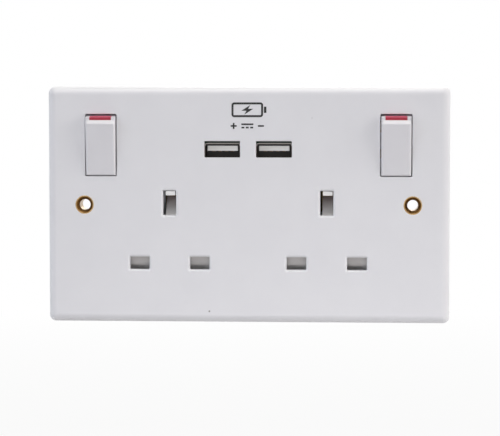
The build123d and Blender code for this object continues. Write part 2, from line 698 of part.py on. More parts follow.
def blade(base_y):
    """One spring blade of a clip, as a (y, offset) outline with a flared mouth."""
    mouth_y = DECK_Y1 + CLIP_MOUTH_GAP
    throat_y = mouth_y + CLIP_THROAT
    bend = CLIP_T * math.tan(math.atan2(CLIP_FLARE, CLIP_THROAT) / 2)
    return [
        (base_y, CLIP_IN),
        (throat_y, CLIP_IN),
        (mouth_y, CLIP_IN + CLIP_FLARE),
        (mouth_y, CLIP_OUT + CLIP_FLARE),
        (throat_y + bend, CLIP_OUT),
        (base_y, CLIP_OUT),
    ]


def live_clip(x):
    """A pair of blades above and below a line or neutral pin, on a base plate."""
    half = CLIP_W / 2
    upper = side_profile(blade(LIVE_Y), -half, half)
    lower = mirror(upper, Plane.XY)
    base_half = CLIP_OUT + CLIP_BASE_LAP
    base = block(-half, half, LIVE_Y, LIVE_Y + BAR_T, -base_half, base_half)
    return Pos(x, 0, LIVE_Z) * (upper + lower + base)


def make_line_clip(x, arm_x, side):
    """A line clip with its arm up to the fixed contact of the switch on the given side."""
    y1 = LIVE_Y + BAR_T
    run_top = ARM_RUN_Z + ARM_W
    pad_z0 = ROCKER_Z + CONTACT_ARM - PAD_BELOW
    pad_z1 = ROCKER_Z + CONTACT_ARM + PAD_ABOVE
    riser = sorted((side * ARM_IN, side * ARM_OUT))
    pad = sorted((side * ARM_IN, side * (ROCKER_X + SEESAW_W / 2 + ARM_ROOM)))
    run = sorted((arm_x, arm_x + ARM_W) + (side * ARM_IN, side * ARM_OUT))
    clip = live_clip(x)
    clip += block(arm_x, arm_x + ARM_W, LIVE_Y, y1, LIVE_Z, run_top)
    clip += block(run[0], run[-1], LIVE_Y, y1, ARM_RUN_Z, run_top)
    clip += block(riser[0], riser[1], LIVE_Y, y1, ARM_RUN_Z, pad_z1)
    clip += block(pad[0], pad[1], LIVE_Y, y1, pad_z0, pad_z1)
    return clip


def make_line_bar():
    """The strip from the line terminal to both switch fulcrums, with a tab for the USB supply."""
    y1 = LINE_Y + BAR_T
    arm_z1 = ROCKER_Z - PAD_ABOVE
    half = SEESAW_W / 2 + SEESAW_SIDE
    bar = block(-ARM_OUT, ARM_OUT, LINE_Y, y1, RUN_BOTTOM, RUN_TOP)
    bar += pair(block(ARM_IN, ARM_OUT, LINE_Y, y1, RUN_BOTTOM, arm_z1))
    bar += pair(block(ARM_IN, ROCKER_X + half, LINE_Y, y1, arm_z1 - BAR_W, arm_z1))
    tab = block(-TAB_HALF, TAB_HALF, LINE_Y, y1, TERMINAL_TOP, RUN_BOTTOM)
    feed = block(-TAB_HALF, TAB_HALF, LINE_Y, y1, RUN_TOP, FEED_PIN_Z + TAB_HALF)
    return bar + Pos(-TERMINAL_PITCH, 0, 0) * tab + Pos(-FEED_PIN_X, 0, 0) * feed


def make_neutral_bar():
    """Both neutral clips on one strip, with the arm to the terminal and a tab for the USB supply."""
    y1 = LIVE_Y + BAR_T
    left_x, right_x = (x - PIN_SPREAD / 2 for x in SOCKET_XS)
    half = CLIP_W / 2
    bar = live_clip(left_x) + live_clip(right_x)
    bar += block(left_x - half, right_x + half, LIVE_Y, y1, NEUTRAL_BOTTOM, NEUTRAL_TOP)
    for x in (left_x, right_x):
        bar += block(x - half, x + half, LIVE_Y, y1, NEUTRAL_BOTTOM, LIVE_Z)
    arm_x = right_x - half
    tab_z = TERMINAL_TOP - TERMINAL_TAB_DROP
    bar += block(arm_x, arm_x + ARM_W, LIVE_Y, y1, LIVE_Z, tab_z)
    bar += block(TERMINAL_PITCH - TERMINAL_W / 2, arm_x + ARM_W, LIVE_Y, y1, tab_z - BAR_W, tab_z)
    feed = block(-TAB_HALF, TAB_HALF, LIVE_Y, y1, tab_z - BAR_W, FEED_PIN_Z + TAB_HALF)
    return bar + Pos(FEED_PIN_X, 0, 0) * feed


def make_earth_bar():
    """Both earth clips on one strip, with a tab down the front of the earth terminal."""
    half = EARTH_CLIP_W / 2
    y1 = EARTH_Y + BAR_T
    outer = SOCKET_XS[1] + CLIP_OUT
    bar = block(-outer, outer, EARTH_Y, y1, RUN_BOTTOM, RUN_TOP)
    right_blade = Rot(0, 90, 0) * side_profile(blade(EARTH_Y), -half, half)
    clip = right_blade + mirror(right_blade, Plane.YZ)
    for x in SOCKET_XS:
        bar += Pos(x, 0, EARTH_Z) * clip
        bar += block(x - CLIP_OUT, x + CLIP_OUT, EARTH_Y, y1, EARTH_Z - half, RUN_TOP)
    return bar + block(-TAB_HALF, TAB_HALF, EARTH_Y, y1, TERMINAL_TOP - BAR_W, RUN_BOTTOM)


def make_terminal(x, y0):
    """A terminal block: wire bore from below, clamping screw from the back."""
    half = TERMINAL_W / 2
    body = block(x - half, x + half, y0, TERMINAL_BACK, TERMINAL_BOTTOM, TERMINAL_TOP)
    bore_z = TERMINAL_BOTTOM + WIRE_BORE_DEPTH / 2
    body -= Pos(x, BORE_Y, bore_z) * Cylinder(WIRE_BORE_R, WIRE_BORE_DEPTH)
    return body - rod_y(x, bore_z, TERMINAL_SCREW_R, BORE_Y, TERMINAL_BACK)


def pan_screw(x, z, radius, tip_y, head_y):
    """A screw along Y with a slotted round head at the back."""
    head = rod_y(x, z, SCREW_HEAD_R, head_y, head_y + SCREW_HEAD_H)
    slot_y = head_y + SCREW_HEAD_H / 2
    slot_y1 = head_y + SCREW_HEAD_H
    half = SCREW_SLOT / 2
    slot = block(x - SCREW_HEAD_R, x + SCREW_HEAD_R, slot_y, slot_y1, z - half, z + half)
    return rod_y(x, z, radius, tip_y, head_y) + head - slot


def make_terminal_screws():
    """The three clamping screws, backed out as supplied."""
    z = TERMINAL_BOTTOM + WIRE_BORE_DEPTH / 2
    tip_y = BORE_Y + WIRE_BORE_R
    head_y = tip_y + TERMINAL_SCREW_L
    places = (-TERMINAL_PITCH, 0, TERMINAL_PITCH)
    return Compound(children=[pan_screw(x, z, TERMINAL_SCREW_R, tip_y, head_y) for x in places])


def make_housing_screws():
    """The screws that hold the housing to the plate."""
    tip_y = PILLAR_BACK - SCREW_BITE
    head_y = BACK_Y - SCREW_HEAD_H
    screws = [pan_screw(x, z, HOUSING_SCREW_R, tip_y, head_y) for x, z in LONG_SCREWS]
    screws.append(pan_screw(0, FOOT_SCREW_Z, HOUSING_SCREW_R, tip_y, CHAMBER_Y))
    return Compound(children=screws)


def make_shell():
    """The folded steel shell of a USB receptacle."""
    outer = RectangleRounded(SHELL_W, SHELL_H, SHELL_CORNER_R)
    inner = RectangleRounded(SHELL_W - 2 * SHELL_T, SHELL_H - 2 * SHELL_T, SHELL_CORNER_R - SHELL_T)
    return slab(outer - inner, SHELL_Y0, SHELL_Y1)


def tongue_top():
    """Height of the tongue's upper face above the middle of the shell."""
    return SHELL_H / 2 - SHELL_T - TONGUE_TOP_GAP


def make_usb_contacts():
    """Four contact strips under the tongue, with tails through the board."""
    strip_z = tongue_top() - TONGUE_T
    strip_y = SHELL_Y0 + TONGUE_RECESS + TAIL_L
    tail_y = BOARD_Y1 + TAIL_L
    half = USB_CONTACT_W / 2
    strips = []
    for step in (-1.5, -0.5, 0.5, 1.5):
        x = step * USB_CONTACT_PITCH
        strips.append(block(x - half, x + half, strip_y, tail_y, strip_z - USB_CONTACT_T, strip_z))
    return Compound(children=strips)


def make_insulator():
    """The white block in the back of the shell, with the tongue that carries the contacts."""
    inner_w = SHELL_W - 2 * SHELL_T
    inner_h = SHELL_H - 2 * SHELL_T
    outline = RectangleRounded(inner_w, inner_h, SHELL_CORNER_R - SHELL_T)
    body = slab(outline, SHELL_Y1 - INSULATOR_L, SHELL_Y1)
    half = TONGUE_W / 2
    top = tongue_top()
    body += block(-half, half, SHELL_Y0 + TONGUE_RECESS, SHELL_Y1, top - TONGUE_T, top)
    for strip in make_usb_contacts().children:
        body -= strip
    return body


def make_board():
    """The USB circuit board, with holes for the contact tails and the feed pins."""
    board = block(-BOARD_HALF, BOARD_HALF, SHELL_Y1, BOARD_Y1, BOARD_BOTTOM, BOARD_TOP)
    for x in (-USB_PITCH / 2, USB_PITCH / 2):
        for strip in make_usb_contacts().children:
            board -= Pos(x, 0, USB_AXIS_Z) * strip
    for x in (-FEED_PIN_X, FEED_PIN_X):
        board -= rod_y(x, FEED_PIN_Z, FEED_PIN_R, SHELL_Y1, BOARD_Y1)
    return board


def make_feed_pins():
    """Pins that bring line and neutral to the board."""
    line = rod_y(-FEED_PIN_X, FEED_PIN_Z, FEED_PIN_R, SHELL_Y1 - TAIL_L, LINE_Y)
    neutral = rod_y(FEED_PIN_X, FEED_PIN_Z, FEED_PIN_R, SHELL_Y1 - TAIL_L, LIVE_Y)
    return Compound(children=[line, neutral])


def make_transformer():
    """Return the ferrite frame and the winding in its window."""
    y0 = BOARD_Y1 + COMPONENT_STANDOFF
    y1 = FLOOR_Y - CORE_INSET
    z1 = BOARD_TOP - COMPONENT_EDGE
    z0 = z1 - CORE_H
    half = CORE_W / 2
    window = half - CORE_LEG
    limb_z = (z0 + z1 - CORE_LIMB_H) / 2
    core = block(-half, half, y0 + CORE_INSET, y1 - CORE_INSET, z0, z1)
    core -= block(-window, window, y0, y1, z0 + CORE_LEG, z1 - CORE_LEG)
    core += block(-window, window, y0 + LIMB_INSET, y1 - LIMB_INSET, limb_z, limb_z + CORE_LIMB_H)
    winding = block(-window, window, BOARD_Y1, y1, z0 + CORE_LEG, z1 - CORE_LEG)
    winding = fillet(winding.edges().filter_by(Axis.X), WINDING_R)
    return core, winding - core


def can(x, z, radius, length):
    """A round capacitor standing on the back of the board."""
    foot_y = BOARD_Y1 + COMPONENT_STANDOFF
    body = rod_y(x, z, radius, foot_y, BOARD_Y1 + length)
    body = chamfer(body.edges().group_by(Axis.Y)[-1], CAN_RIM)
    leads = [rod_y(x + side * LEAD_SPREAD, z, LEAD_R, BOARD_Y1, foot_y) for side in (-1, 1)]
    return body + leads


def make_input_capacitors():
    """Two small storage capacitors on the mains side."""
    x = INPUT_CAN_SIDE + INPUT_CAN_R - BOARD_HALF
    high_z = BOARD_TOP - COMPONENT_EDGE - INPUT_CAN_R
    low_z = (FEED_PIN_Z + USB_AXIS_Z) / 2
    return Compound(children=[can(x, z, INPUT_CAN_R, INPUT_CAN_L) for z in (high_z, low_z)])


def make_output_capacitor():
    """One larger storage capacitor on the USB side."""
    x = BOARD_HALF - OUTPUT_CAN_SIDE - OUTPUT_CAN_R
    return can(x, BOARD_TOP - COMPONENT_EDGE - OUTPUT_CAN_R, OUTPUT_CAN_R, OUTPUT_CAN_L)


def make_safety_capacitor():
    """A flat disc capacitor bridging both sides."""
    y = BOARD_Y1 + COMPONENT_EDGE + DISC_R
    z = BOARD_TOP - COMPONENT_EDGE - 2 * OUTPUT_CAN_R - DISC_BELOW_CAN - DISC_R
    x1 = BOARD_HALF - DISC_SIDE
    disc = chamfer(rod_x(y, z, DISC_R, x1 - DISC_T, x1).edges(), DISC_RIM)
    x = x1 - DISC_T / 2
    leads = [rod_y(x, z + side * DISC_LEAD_SPREAD, LEAD_R, BOARD_Y1, y) for side in (-1, 1)]
    return disc + leads


def flat_chip(x, width):
    """A flat surface-mounted chip with its pins along both sides."""
    z = BOARD_BOTTOM + CHIP_RISE
    half = CHIP_H / 2
    body = block(-width / 2, width / 2, BOARD_Y1 + CHIP_STANDOFF, BOARD_Y1 + CHIP_T, -half, half)
    pin_half = half + CHIP_PIN_REACH
    pin = block(-CHIP_PIN_W / 2, CHIP_PIN_W / 2, BOARD_Y1, BOARD_Y1 + CHIP_PIN_T, -pin_half, pin_half)
    for step in (-1.5, -0.5, 0.5, 1.5):
        body += Pos(step * width / 4, 0, 0) * pin
    return Pos(x, 0, z) * body


def make_housing():
    """The rear body: a box open to the front, with bays for the switches, supply and terminals."""
    wall = HOUSING_WALL
    upper_h = UPPER_TOP - UPPER_BOTTOM
    upper_z = (UPPER_TOP + UPPER_BOTTOM) / 2
    lower_h = UPPER_TOP - LOWER_BOTTOM
    lower_z = (UPPER_TOP + LOWER_BOTTOM) / 2
    outer = Pos(0, upper_z) * RectangleRounded(2 * UPPER_HALF, upper_h, HOUSING_CORNER_R)
    outer += Pos(0, lower_z) * RectangleRounded(2 * LOWER_HALF, lower_h, HOUSING_CORNER_R)
    inner = Pos(0, upper_z) * Rectangle(2 * UPPER_HALF - 2 * wall, upper_h - 2 * wall)
    inner += Pos(0, lower_z) * Rectangle(2 * LOWER_HALF - 2 * wall, lower_h - 2 * wall)
    body = slab(outer, INNER_Y, BACK_Y) - slab(inner, INNER_Y, FLOOR_Y)

    tube_side = PIN_SPREAD / 2 + CLIP_W / 2 + CLIP_SIDE_ROOM + SHROUD_TUBE_T
    ledge_in = SOCKET_PITCH / 2 - tube_side - FIT_GAP
    ledge_out = SOCKET_PITCH - ledge_in
    ledge_z = NEUTRAL_TOP + BAR_ROOM
    body += pair(block(COLUMN_HALF, ledge_in, DECK_Y1, CHAMBER_Y, ledge_z, SHOULDER_Z))
    body += pair(block(ledge_out, LOWER_HALF - wall, DECK_Y1, FLOOR_Y, ledge_z, SHOULDER_Z))

    bay_top = UPPER_TOP - wall
    bay_under = BAY_BOTTOM - PARTITION_T
    body += pair(block(BAY_HALF, BAY_HALF + PARTITION_T, INNER_Y, FLOOR_Y, bay_under, bay_top))
    body += block(-BAY_HALF, BAY_HALF, DECK_Y1, FLOOR_Y, bay_under, BAY_BOTTOM)
    post_in = BAY_HALF - BOARD_POST_T
    for z in (BAY_BOTTOM, bay_top - BOARD_POST_H):
        body += pair(block(post_in, BAY_HALF, BOARD_Y1, FLOOR_Y, z, z + BOARD_POST_H))
    tab = TAB_HALF + FIT_GAP
    for x, y in ((-FEED_PIN_X, LINE_Y), (FEED_PIN_X, LIVE_Y)):
        body -= block(x - tab, x + tab, y - FIT_GAP, y + BAR_T + FIT_GAP, bay_under, BAY_BOTTOM)

    room_x = CHAMBER_HALF + PARTITION_T
    room_y = CHAMBER_Y - PARTITION_T
    sill = TERMINAL_BOTTOM - FIT_GAP
    body += block(-room_x, room_x, room_y, FLOOR_Y, LOWER_BOTTOM + wall, TERMINAL_TOP)
    room_top = TERMINAL_TOP + FIT_GAP
    body -= block(-CHAMBER_HALF, CHAMBER_HALF, CHAMBER_Y, BACK_Y, LOWER_BOTTOM, room_top)
    rib = TERMINAL_GAP / 2 - HEAD_ROOM
    rib_x = TERMINAL_PITCH / 2
    body += pair(block(rib_x - rib, rib_x + rib, CHAMBER_Y, TERMINAL_BACK, sill, TERMINAL_TOP))
    hole = TERMINAL_W / 2 + HEAD_ROOM
    hole_in = TERMINAL_PITCH - hole
    body -= block(hole_in, TERMINAL_PITCH + hole, room_y, CHAMBER_Y, sill, TERMINAL_TOP + BAR_ROOM)

    hole_r = HOUSING_SCREW_R + HOUSING_SCREW_PLAY
    head_y = BACK_Y - SCREW_HEAD_H
    for x, z in LONG_SCREWS:
        body += rod_y(x, z, PILLAR_R + PILLAR_LAP, PILLAR_BACK, FLOOR_Y)
        body -= rod_y(x, z, hole_r, PILLAR_BACK, BACK_Y)
        body -= rod_y(x, z, SCREW_HEAD_R + HEAD_ROOM, head_y, BACK_Y)
    body += rod_y(0, FOOT_SCREW_Z, PILLAR_R + PILLAR_LAP, PILLAR_BACK, room_y)
    return body - rod_y(0, FOOT_SCREW_Z, hole_r, PILLAR_BACK, CHAMBER_Y)


def at_each_side(name, shape, x):
    """The same piece placed on the left and on the right."""
    return {f"left_{name}": Pos(-x, 0, 0) * shape, f"right_{name}": Pos(x, 0, 0) * shape}


pieces = {"front_plate": make_front_plate(), "rear_housing": make_housing()}
pieces.update(at_each_side("eyelet", make_eyelet(), FIXING_PITCH / 2))

rocker, on_strip = make_rocker()
seesaw, silver_contact = make_seesaw()
for name, shape in (
    ("rocker", rocker),
    ("on_strip", on_strip),
    ("plunger", make_plunger()),
    ("plunger_spring", make_plunger_spring()),
    ("seesaw", seesaw),
    ("silver_contact", silver_contact),
    ("fulcrum", make_fulcrum()),
):
    pieces.update(at_each_side(name, shape, ROCKER_X))

for name, shape in (
    ("shutter", make_shutter()),
    ("shutter_spring", make_shutter_spring()),
    ("guard", make_guard()),
    ("shroud", make_shroud()),
):
    pieces.update(at_each_side(name, shape, SOCKET_PITCH / 2))

left_x, right_x = (x + PIN_SPREAD / 2 for x in SOCKET_XS)
pieces["left_line_clip"] = make_line_clip(left_x, SOCKET_XS[0] + TUBE_OUT + ARM_ROOM, -1)
pieces["right_line_clip"] = make_line_clip(right_x, right_x - CLIP_W / 2, 1)
pieces["line_bar"] = make_line_bar()
pieces["neutral_bar"] = make_neutral_bar()
pieces["earth_bar"] = make_earth_bar()
pieces["line_terminal"] = make_terminal(-TERMINAL_PITCH, EARTH_Y + BAR_T)
pieces["earth_terminal"] = make_terminal(0, EARTH_Y + BAR_T)
pieces["neutral_terminal"] = make_terminal(TERMINAL_PITCH, LIVE_Y + BAR_T)
pieces["terminal_screws"] = make_terminal_screws()
pieces["housing_screws"] = make_housing_screws()

for name, shape in (
    ("usb_shell", make_shell()),
    ("usb_insulator", make_insulator()),
    ("usb_contacts", make_usb_contacts()),
):
    pieces.update(at_each_side(name, Pos(0, 0, USB_AXIS_Z) * shape, USB_PITCH / 2))

pieces["usb_board"] = make_board()
pieces["usb_feed_pins"] = make_feed_pins()
pieces["transformer_core"], pieces["transformer_winding"] = make_transformer()
pieces["input_capacitors"] = make_input_capacitors()
pieces["output_capacitor"] = make_output_capacitor()
pieces["safety_capacitor"] = make_safety_capacitor()
pieces["bridge_rectifier"] = flat_chip(-CHIP_X, RECTIFIER_W)
pieces["controller_chip"] = flat_chip(CHIP_X, CONTROLLER_W)

os.makedirs("parts", exist_ok=True)
for name, shape in pieces.items():
    export_step(shape, f"parts/{name}.step")
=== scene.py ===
import json
import math

import bmesh
import bpy
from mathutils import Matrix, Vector

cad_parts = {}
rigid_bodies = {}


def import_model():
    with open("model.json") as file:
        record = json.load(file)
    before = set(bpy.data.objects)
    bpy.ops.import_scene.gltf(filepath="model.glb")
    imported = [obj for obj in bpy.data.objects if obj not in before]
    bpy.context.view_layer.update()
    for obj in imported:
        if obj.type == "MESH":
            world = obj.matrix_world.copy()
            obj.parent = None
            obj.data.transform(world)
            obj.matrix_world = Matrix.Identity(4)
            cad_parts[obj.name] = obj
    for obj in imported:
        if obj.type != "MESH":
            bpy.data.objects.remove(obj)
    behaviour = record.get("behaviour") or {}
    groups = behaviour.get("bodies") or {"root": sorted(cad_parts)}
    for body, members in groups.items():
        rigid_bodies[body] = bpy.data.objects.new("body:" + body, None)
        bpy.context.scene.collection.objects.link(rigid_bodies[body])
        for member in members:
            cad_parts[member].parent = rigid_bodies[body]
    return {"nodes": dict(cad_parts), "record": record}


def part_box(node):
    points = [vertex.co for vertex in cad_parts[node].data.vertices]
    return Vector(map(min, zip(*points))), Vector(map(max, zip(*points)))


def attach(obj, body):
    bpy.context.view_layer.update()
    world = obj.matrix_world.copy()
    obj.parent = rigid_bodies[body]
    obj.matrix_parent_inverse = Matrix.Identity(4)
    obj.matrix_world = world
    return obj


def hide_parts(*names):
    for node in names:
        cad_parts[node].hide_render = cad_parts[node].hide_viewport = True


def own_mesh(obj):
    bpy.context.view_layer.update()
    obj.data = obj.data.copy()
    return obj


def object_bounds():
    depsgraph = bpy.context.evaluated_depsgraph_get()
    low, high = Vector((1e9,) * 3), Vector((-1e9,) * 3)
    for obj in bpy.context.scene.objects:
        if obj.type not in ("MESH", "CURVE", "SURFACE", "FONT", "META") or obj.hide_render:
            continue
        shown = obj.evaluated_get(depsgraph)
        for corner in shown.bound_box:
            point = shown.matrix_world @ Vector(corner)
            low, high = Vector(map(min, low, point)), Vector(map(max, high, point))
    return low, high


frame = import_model()
cad_low, cad_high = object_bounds()

# The socket stands upright with its face towards -Y.
# Sizes of the part are millimetres, turned into metres by MM, and the studio is in metres.
MM = 0.001
nodes = frame["nodes"]
FACE_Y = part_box("front_plate")[0].y

# Camera, fitted to the pin slots, switches, fixing holes and outline in the photograph
IMAGE_W = 500
FOCAL_PIXELS = 1883.7
SENSOR_W = 36.0
CLIP_START = 0.01
CAMERA_AZIMUTH = math.radians(3.59)
CAMERA_ELEVATION = math.radians(3.3)
CAMERA_DISTANCE = 700 * MM
CAMERA_TARGET = Vector((0.23, 0.0, -5.25)) * MM

# Studio: the floor turns from FLOOR_SHADE[0] white to FLOOR_SHADE[1] white over FLOOR_FADE
FLOOR_DROP = 60 * MM
FLOOR_SIZE = 6.0
FLOOR_PAPER = (0.55, 0.55, 0.55, 1.0)
FLOOR_SHADE = (0.90, 1.0)
FLOOR_FADE = (0.15, 0.60)
PURE_WHITE = (1.0, 1.0, 1.0, 1.0)
AMBIENT = 0.04

# Soft boxes, as (name, place, size, watts, colour, whether glossy surfaces mirror it)
LAMPS = [
    ("top_box", (0.05, -0.03, 0.70), (0.7, 0.3), 3.0, (1.0, 0.97, 0.90), True),
    ("right_box", (1.00, -0.22, 0.45), (0.4, 0.4), 5.5, (1.0, 0.99, 0.95), False),
    ("far_right_box", (1.50, -0.45, 0.15), (0.6, 0.6), 5.2, (1.0, 0.98, 0.98), False),
    ("left_box", (-1.10, -0.75, 0.40), (0.3, 0.3), 4.8, (0.88, 0.92, 1.0), False),
    ("far_left_box", (-1.50, -0.45, 0.35), (0.6, 0.6), 4.75, (0.92, 0.95, 1.0), False),
    ("upper_box", (0.10, -1.00, 1.50), (0.9, 0.6), 4.4, (0.97, 0.96, 1.0), True),
    ("front_box", (0.10, -1.60, 0.40), (0.5, 0.5), 0.7, (1.0, 0.97, 1.0), True),
    ("low_box", (0.03, -0.17, -0.085), (0.30, 0.03), 0.085, (1.0, 0.98, 1.0), True),
    ("back_box", (0.20, 1.30, 0.70), (0.8, 0.8), 7.0, (1.0, 1.0, 1.0), True),
]

# Finishes: two colours and the size of the patches in which they drift, the range of roughness,
# and the size and depth of the fine relief
FINISHES = {
    "plate_white": ((0.713, 0.709, 0.737), (0.733, 0.729, 0.755), 14, (0.34, 0.42), 0.5, 0.0015),
    # the rockers' white, darker than the plate's as painted shade
    "rocker_white": ((0.665, 0.655, 0.685), (0.685, 0.676, 0.703), 9, (0.34, 0.42), 0.5, 0.0015),
    "shutter_white": ((0.90, 0.88, 0.86), (0.93, 0.91, 0.89), 4, (0.45, 0.6), 0.4, 0.003),
    "guard_white": ((0.80, 0.79, 0.78), (0.84, 0.83, 0.82), 4, (0.45, 0.6), 0.4, 0.003),
    # red of the ON strips, pinker than the paint, partly as a painted highlight on the crowns
    "on_red": ((0.66, 0.13, 0.20), (0.72, 0.15, 0.23), 2, (0.25, 0.35), 0.3, 0.0006),
    "housing_grey": ((0.57, 0.58, 0.59), (0.60, 0.61, 0.62), 10, (0.5, 0.65), 0.45, 0.006),
    # brass darker than clean brass, partly as tarnish and partly as painted dark reflections
    "brass": ((0.43, 0.28, 0.12), (0.59, 0.41, 0.20), 1.8, (0.22, 0.38), 0.25, 0.002),
    "steel": ((0.45, 0.45, 0.45), (0.58, 0.57, 0.56), 2, (0.24, 0.4), 0.2, 0.0015),
    # steel of the USB shells, darker than the other steel as painted shade inside the ports
    "port_steel": ((0.30, 0.28, 0.27), (0.38, 0.355, 0.34), 2, (0.3, 0.45), 0.2, 0.0015),
    "contact_dull": ((0.16, 0.12, 0.07), (0.24, 0.18, 0.11), 1, (0.35, 0.5), 0.15, 0.001),
    "silver": ((0.80, 0.79, 0.77), (0.88, 0.87, 0.85), 1, (0.2, 0.3), 0.2, 0.001),
    "ink": ((0.012, 0.012, 0.013), (0.022, 0.021, 0.021), 0.8, (0.45, 0.6), 0.2, 0.004),
    "usb_white": ((0.79, 0.78, 0.75), (0.83, 0.82, 0.79), 3, (0.4, 0.5), 0.3, 0.002),
    "tongue_white": ((0.93, 0.915, 0.885), (0.96, 0.945, 0.915), 3, (0.4, 0.5), 0.3, 0.002),
    "board_green": ((0.02, 0.10, 0.045), (0.03, 0.14, 0.06), 3, (0.3, 0.45), 0.6, 0.008),
    "ferrite": ((0.03, 0.03, 0.033), (0.055, 0.054, 0.056), 1, (0.55, 0.75), 0.15, 0.01),
    "winding_tape": ((0.55, 0.38, 0.03), (0.68, 0.50, 0.06), 2, (0.2, 0.35), 0.5, 0.01),
    "can_black": ((0.012, 0.012, 0.016), (0.03, 0.03, 0.036), 2, (0.3, 0.45), 0.4, 0.004),
    "disc_blue": ((0.02, 0.08, 0.30), (0.03, 0.11, 0.38), 2, (0.2, 0.3), 0.8, 0.02),
    "chip_black": ((0.014, 0.014, 0.015), (0.03, 0.03, 0.03), 1, (0.5, 0.65), 0.15, 0.004),
}

# Finishes that are metal, and scales of the noise for those whose grain runs along an axis
METALS = ("brass", "steel", "port_steel", "contact_dull", "silver")
EVEN_GRAIN = (1, 1, 1)
LONG_GRAIN = {"steel": (1, 0.15, 1), "winding_tape": (1, 1, 0.1)}

# The noise of the finishes, and the part of its values that is spread over colours and roughness
NOISE_DETAIL = 3.0
NOISE_MIDDLE = (0.3, 0.7)

# Nodes on each side whose finish differs from that of their material slot
OWN_FINISH = {
    "rocker": "rocker_white",
    "guard": "guard_white",
    "usb_shell": "port_steel",
    "usb_insulator": "tongue_white",
    "usb_contacts": "contact_dull",
}

# Specks on the plate, as (x, z, radius, strength), evenly dark over SPECK_CORE of the radius
SPECKS = [(-14.2, -39.2, 0.45, 0.75), (23.5, 31.9, 0.5, 0.12)]
SPECK_CORE = 0.4
SPECK_COLOUR = (0.09, 0.07, 0.06)

# Tints of painted light and shade, and the distances in millimetres over which they change.
# The USB tongues go dark with depth as painted shade, and each shell is painted with shade except
# for a painted bright band on its top wall.
# The step of each ON strip is a deeper red than its crown, as painted shade.
# The shutters are painted with shade, greyer at the top of the doors and browner at the top of the
# ramps.
WHITE = (1.0, 1.0, 1.0)
TONGUE_SHADE = (0.2, 2.0)
SHADE_BROWN = (0.035, 0.026, 0.022)
SHELL_PAINTED_LIGHT = (1.2, 0.8)
PORT_PAINTED_SHADE = (0.15, 0.115, 0.10)
STRIP_CROWN = (0.62, 0.47)
STEP_SHADE_RED = (0.53, 0.10, 0.17)
DOOR_BAND = (1.0, 5.5, 8.0)
DOOR_PAINTED_SHADE = (0.55, 0.54, 0.54)
RAMP_BAND = 4.5
RAMP_PAINTED_SHADE = (0.52, 0.42, 0.41)

# Printed marks above the USB ports: a battery with a bolt in it,
# and under it the signs for plus, direct current and minus
INK_T = 0.03
MARK_X = -0.2
BATTERY_Z = 34.9
BATTERY_SIZE = (11.6, 5.4)
BATTERY_LINE = 0.75
BATTERY_CORNER = 1.0
KNOB_OUT = 0.75
KNOB_SIZE = (0.9, 2.3)
BOLT = [(1.1, 1.75), (-2.2, -0.35), (-0.3, -0.35), (-1.1, -1.75), (2.2, 0.35), (0.3, 0.35)]
SIGN_Z = 29.0
SIGN_LINE = 0.6
SIGN_OUT = 5.0
SIGN_W = 2.2
PLUS_ARM_OUT = 0.68
PLUS_ARM_H = 0.85
CURRENT_W = 4.4
CURRENT_OUT = 0.6
DASH_PITCH = 1.6
DASH_W = 1.1

# Thread of the terminal screws, its profile as (out from the shank, share of the pitch)
THREAD_R = 1.4
THREAD_PITCH = 0.6
THREAD_STEPS = 20
THREAD_PROFILE = ((-0.1, 0.05), (0.16, 0.5), (-0.1, 0.95))
SCREW_HEAD_H = 1.8


def link(tree, source, target):
    tree.links.new(source, target)


def add_node(tree, kind, inputs=None, **settings):
    """A shader node with its settings and the values of its unlinked inputs."""
    made = tree.nodes.new(kind)
    for name, value in settings.items():
        setattr(made, name, value)
    for name, value in (inputs or {}).items():
        made.inputs[name].default_value = value
    return made


def map_range(tree, value, source, target):
    """A value moved from the source range to the target range."""
    ranged = add_node(
        tree,
        "ShaderNodeMapRange",
        {"From Min": source[0], "From Max": source[1], "To Min": target[0], "To Max": target[1]},
    )
    link(tree, value, ranged.inputs["Value"])
    return ranged.outputs["Result"]


def grain(tree, size, stretch):
    """Noise in the piece's own coordinates, with features about size millimetres across."""
    place = add_node(tree, "ShaderNodeTexCoord")
    scaled = add_node(tree, "ShaderNodeMapping", {"Scale": stretch})
    noise = add_node(
        tree, "ShaderNodeTexNoise", {"Scale": 1 / (size * MM), "Detail": NOISE_DETAIL}
    )
    link(tree, place.outputs["Object"], scaled.inputs["Vector"])
    link(tree, scaled.outputs["Vector"], noise.inputs["Vector"])
    return noise.outputs["Fac"]


def mixed(tree, factor, first, second):
    """A colour between first and second, each a colour or a socket."""
    mix = add_node(tree, "ShaderNodeMix", data_type="RGBA")
    link(tree, factor, mix.inputs["Factor"])
    for socket, colour in ((mix.inputs["A"], first), (mix.inputs["B"], second)):
        if isinstance(colour, tuple):
            socket.default_value = (*colour, 1.0)
        else:
            link(tree, colour, socket)
    return mix.outputs["Result"]


def bump(tree, shader, height, depth):
    """Raise the surface by a noise value, depth millimetres high."""
    raised = add_node(tree, "ShaderNodeBump", {"Strength": 1.0, "Distance": depth * MM})
    link(tree, height, raised.inputs["Height"])
    link(tree, raised.outputs["Normal"], shader.inputs["Normal"])


def surface(name, colour, other, patch, rough, pit, depth, metallic, stretch):
    """A finish that drifts between two colours and two roughnesses, with a fine relief."""
    made = bpy.data.materials.new(name)
    made.use_nodes = True
    tree = made.node_tree
    shader = tree.nodes["Principled BSDF"]
    shader.inputs["Metallic"].default_value = metallic
    drift = map_range(tree, grain(tree, patch, stretch), NOISE_MIDDLE, (0.0, 1.0))
    link(tree, mixed(tree, drift, colour, other), shader.inputs["Base Color"])
    fine = grain(tree, pit, stretch)
    link(tree, map_range(tree, fine, NOISE_MIDDLE, rough), shader.inputs["Roughness"])
    bump(tree, shader, fine, depth)
    return made


def make_finishes():
    """The materials in FINISHES, by name."""
    made = {}
    for name, row in FINISHES.items():
        metallic = 1.0 if name in METALS else 0.0
        made[name] = surface(name, *row, metallic, LONG_GRAIN.get(name, EVEN_GRAIN))
    return made


